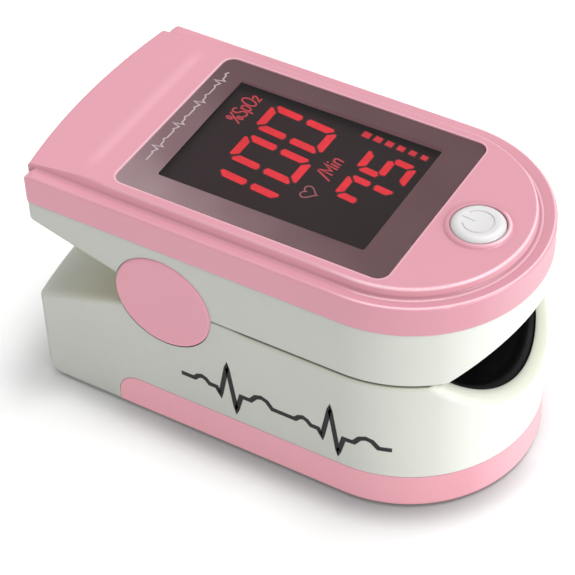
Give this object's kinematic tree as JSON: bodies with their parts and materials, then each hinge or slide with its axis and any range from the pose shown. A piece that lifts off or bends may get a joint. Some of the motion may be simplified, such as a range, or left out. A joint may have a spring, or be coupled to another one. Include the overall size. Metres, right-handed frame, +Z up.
{
  "type": "fingertip pulse oximeter",
  "caption": "Clip-on fingertip pulse oximeter: sprung hinged jaws with silicone finger pads, tinted LED display with power button, and a sliding battery door.",
  "frame": {"origin": "middle of the footprint, on the table plane", "axes": "+X towards the finger opening and the power button, +Y across the finger, +Z up"},
  "size_m": [0.057, 0.031, 0.0323],
  "materials": {
    "pink_shell": "satin moulded ABS, dusty pink",
    "pink_door": "satin moulded ABS, dusty pink",
    "pink_cap": "satin moulded ABS, dusty pink",
    "white_shell": "satin moulded ABS, warm white",
    "white_button": "satin moulded ABS, white",
    "black_silicone": "soft matt silicone",
    "window_clear": "clear moulded sensor window",
    "tinted_lens": "smoked acrylic lens with a printed border",
    "display_black": "dark display face",
    "circuit_board": "green solder mask",
    "chip_black": "moulded chip package",
    "connector_cream": "moulded connector",
    "ribbon_amber": "polyimide film",
    "led_emitter": "clear resin package",
    "photodiode_dark": "dark resin package",
    "steel_pin": "ground steel",
    "spring_steel": "drawn spring wire",
    "contact_nickel": "nickel-plated strip",
    "screw_steel": "zinc-plated steel",
    "cell_wrap": "plain printed battery sleeve",
    "switch_grey": "moulded switch body",
    "plunger_white": "moulded plunger"
  },
  "bodies": {
    "lower_body": {"lower_shell": "white_shell", "lower_finger_pad": "black_silicone", "detector_window": "window_clear", "photodiode": "photodiode_dark", "detector_board": "circuit_board", "aaa_cells": "cell_wrap", "battery_contacts": "contact_nickel", "contact_springs": "spring_steel", "hinge_pin": "steel_pin", "hinge_cap_left": "pink_cap", "hinge_cap_right": "pink_cap", "torsion_springs": "spring_steel", "ribbon_cable": "ribbon_amber"},
    "upper_body": {"upper_shell": "white_shell", "upper_finger_pad": "black_silicone", "emitter_window": "window_clear", "emitter_leds": "led_emitter", "top_cover": "pink_shell", "display_lens": "tinted_lens", "led_display": "display_black", "main_board": "circuit_board", "board_chips": "chip_black", "ribbon_connector": "connector_cream", "tact_switch": "switch_grey", "cover_screws": "screw_steel"},
    "power_button": {"power_button": "white_button"},
    "switch_plunger": {"switch_plunger": "plunger_white"},
    "battery_door": {"battery_door": "pink_door"}
  },
  "joints": [
    {"name": "jaw_hinge", "type": "hinge", "parent": "lower_body", "child": "upper_body", "pos_m": [-0.00945, 0, 0.0192], "axis": [0, -1, 0], "range_deg": [0, 28], "deforming": ["torsion_springs", "ribbon_cable"]},
    {"name": "button_press", "type": "slide", "parent": "upper_body", "child": "power_button", "axis": [0, 0, -1], "range_m": [0, 0.00035]},
    {"name": "switch_press", "type": "slide", "parent": "upper_body", "child": "switch_plunger", "axis": [0, 0, -1], "range_m": [0, 0.00035]},
    {"name": "battery_door_slide", "type": "slide", "parent": "lower_body", "child": "battery_door", "axis": [1, 0, 0], "range_m": [0, 0.05]}
  ],
  "couplings": [
    {"joint": "switch_press", "follows": "button_press", "ratio": 1}
  ]
}
